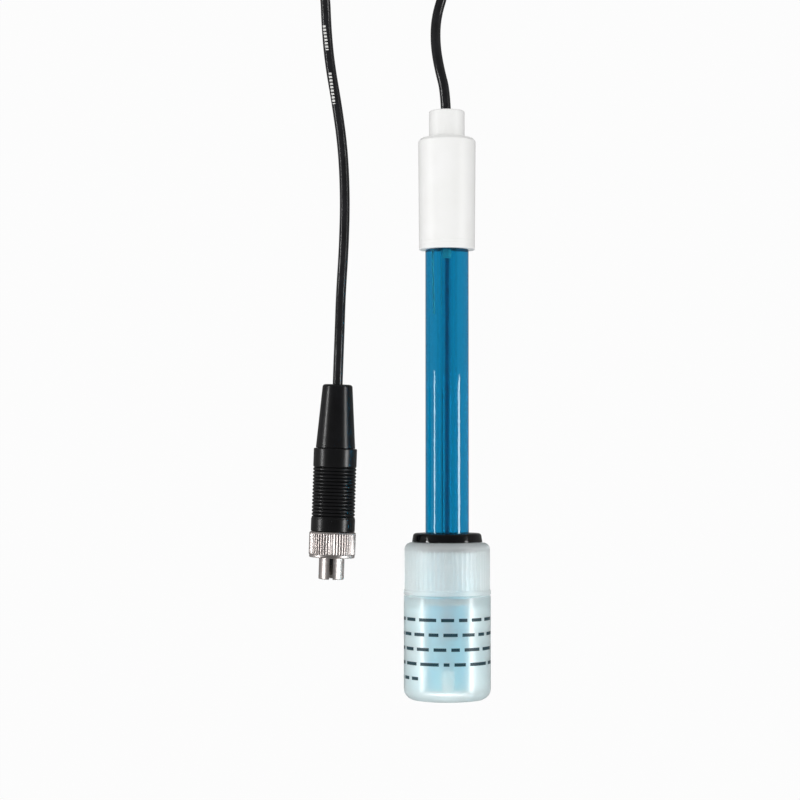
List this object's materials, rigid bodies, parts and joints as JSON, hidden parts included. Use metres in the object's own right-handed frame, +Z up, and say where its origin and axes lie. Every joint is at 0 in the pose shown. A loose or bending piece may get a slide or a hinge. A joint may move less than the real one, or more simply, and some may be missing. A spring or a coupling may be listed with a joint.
{
  "type": "redox electrode",
  "caption": "Redox measuring electrode: blue shaft with white cable head, tip held in a screw-cap storage bottle, with its lead and a threaded plug.",
  "frame": {"origin": "on the surface that the electrode lies on, below the middle of its length, lead and plug not counted", "axes": "+Y along the electrode from the bottle to the cable neck, +Z up from the surface, +X to the right"},
  "size_m": [0.0515, 0.2443, 0.0251],
  "materials": {
    "head_plastic": "moulded satin white plastic",
    "shaft_plastic": "clear blue extruded plastic, polished",
    "bush_plastic": "moulded",
    "junction_ceramic": "porous fired ceramic",
    "stem_glass": "drawn glass",
    "platinum": "bright drawn metal",
    "potting_resin": "cast epoxy",
    "silver_wire": "drawn silver",
    "lead_insulation": "soft insulation",
    "bottle_plastic": "blow-moulded natural polyethylene",
    "cap_plastic": "moulded natural polyethylene",
    "seal_rubber": "moulded, glossy",
    "nickel_plate": "bright nickel plate",
    "insert_plastic": "moulded",
    "gold_plate": "plated contacts",
    "shell_plastic": "moulded black plastic",
    "boot_rubber": "moulded, satin",
    "cord_jacket": "extruded, satin",
    "tie_plastic": "strap"
  },
  "bodies": {
    "electrode": {"head_cap": "head_plastic", "body_tube": "shaft_plastic", "end_bush": "bush_plastic", "reference_junction": "junction_ceramic", "glass_stem": "stem_glass", "platinum_pin": "platinum", "potting": "potting_resin", "stem_seal": "potting_resin", "stem_lead": "lead_insulation", "reference_wire": "silver_wire", "signal_lead": "lead_insulation", "reference_lead": "lead_insulation", "ferrule": "nickel_plate", "contact_insert": "insert_plastic", "contact_pins": "gold_plate", "plug_shell": "shell_plastic", "cable_clamp": "nickel_plate", "strain_relief": "boot_rubber", "plug_leads": "lead_insulation", "cord_run_head": "cord_jacket", "cord_run_plug": "cord_jacket", "cord_coil": "cord_jacket", "cord_tie": "tie_plastic"},
    "seal": {"rubber_seal": "seal_rubber"},
    "cap": {"bottle_cap": "cap_plastic"},
    "bottle": {"storage_bottle": "bottle_plastic"},
    "nut": {"coupling_nut": "nickel_plate"}
  },
  "joints": [
    {"name": "seal_slide", "type": "slide", "parent": "electrode", "child": "seal", "axis": [0, -0.9994, 0.0335], "range_m": [0, 0.043]},
    {"name": "cap_turn", "type": "hinge", "parent": "seal", "child": "cap", "pos_m": [0, -0.04555, 0.01197], "axis": [0, 0.9994, -0.0335], "range_deg": [0, 900]},
    {"name": "bottle_unscrew", "type": "slide", "parent": "seal", "child": "bottle", "axis": [0, -0.9994, 0.0335], "range_m": [0, 0.00525]},
    {"name": "nut_spin", "type": "hinge", "parent": "electrode", "child": "nut", "pos_m": [-0.03198, -0.03921, 0.00656], "axis": [0.0331, 0.9993, -0.0194], "continuous": true}
  ],
  "couplings": [
    {"joint": "bottle_unscrew", "follows": "cap_turn", "m_per_rad": 0.00033423}
  ]
}
